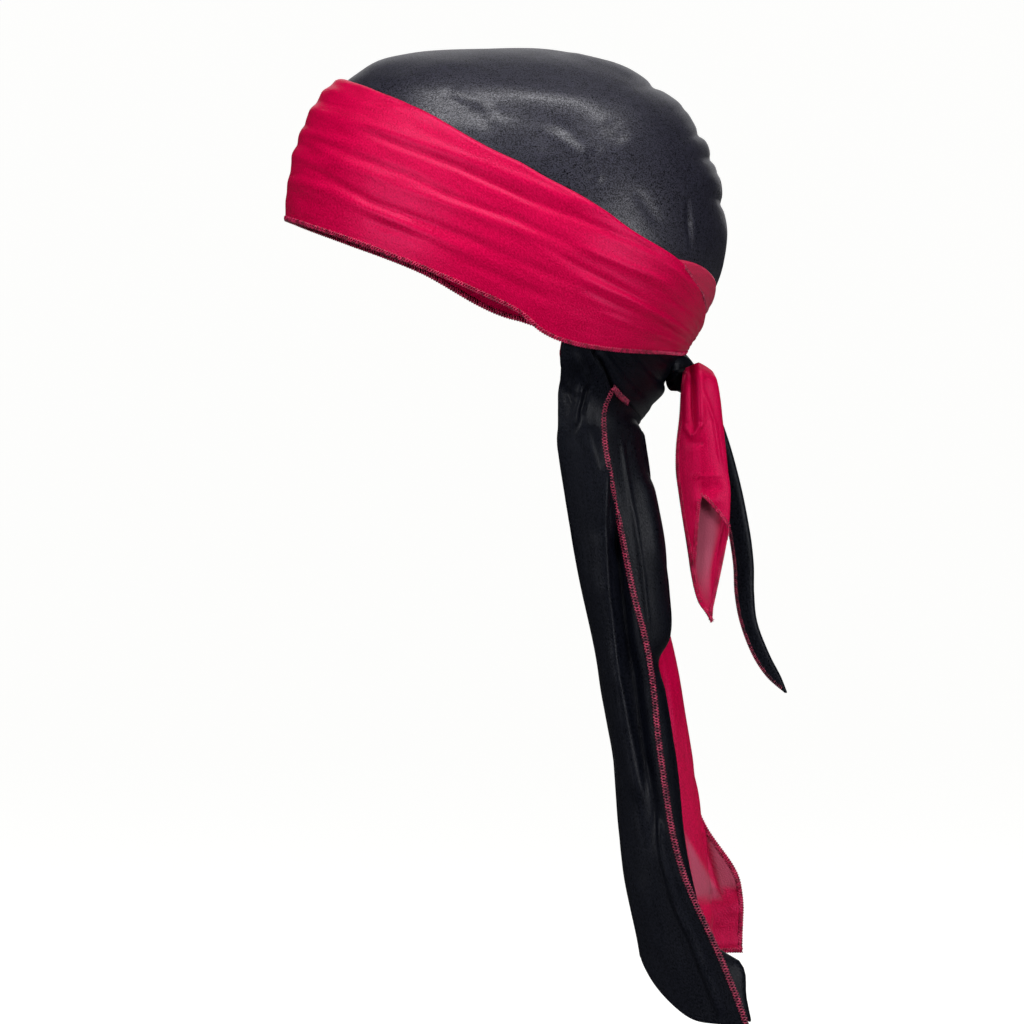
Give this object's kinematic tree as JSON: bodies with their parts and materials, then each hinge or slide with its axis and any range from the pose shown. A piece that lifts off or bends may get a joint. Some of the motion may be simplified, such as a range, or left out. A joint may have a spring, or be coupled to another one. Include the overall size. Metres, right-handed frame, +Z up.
{
  "type": "durag",
  "caption": "Satin durag, worn and tied: two-panel crown, wide wrapped strap, nape wrap, knot with two loose ends and a long folded tail in two colours.",
  "frame": {"origin": "inside the crown, where the top of the wearer's head bears on it", "axes": "+Z up, the forehead faces -Y, the wearer's left side is +X"},
  "size_m": [0.1629, 0.2369, 0.4584],
  "materials": {
    "black_satin": "black satin with a soft blue-grey sheen",
    "red_satin": "crimson satin with a soft pink sheen"
  },
  "bodies": {
    "root": {"crown_left": "black_satin", "crown_right": "black_satin", "forehead_band": "red_satin", "nape_wrap": "black_satin", "knot": "black_satin", "tie_end_red": "red_satin", "tie_end_black": "black_satin", "tail_left": "black_satin", "tail_right": "red_satin"}
  },
  "joints": []
}
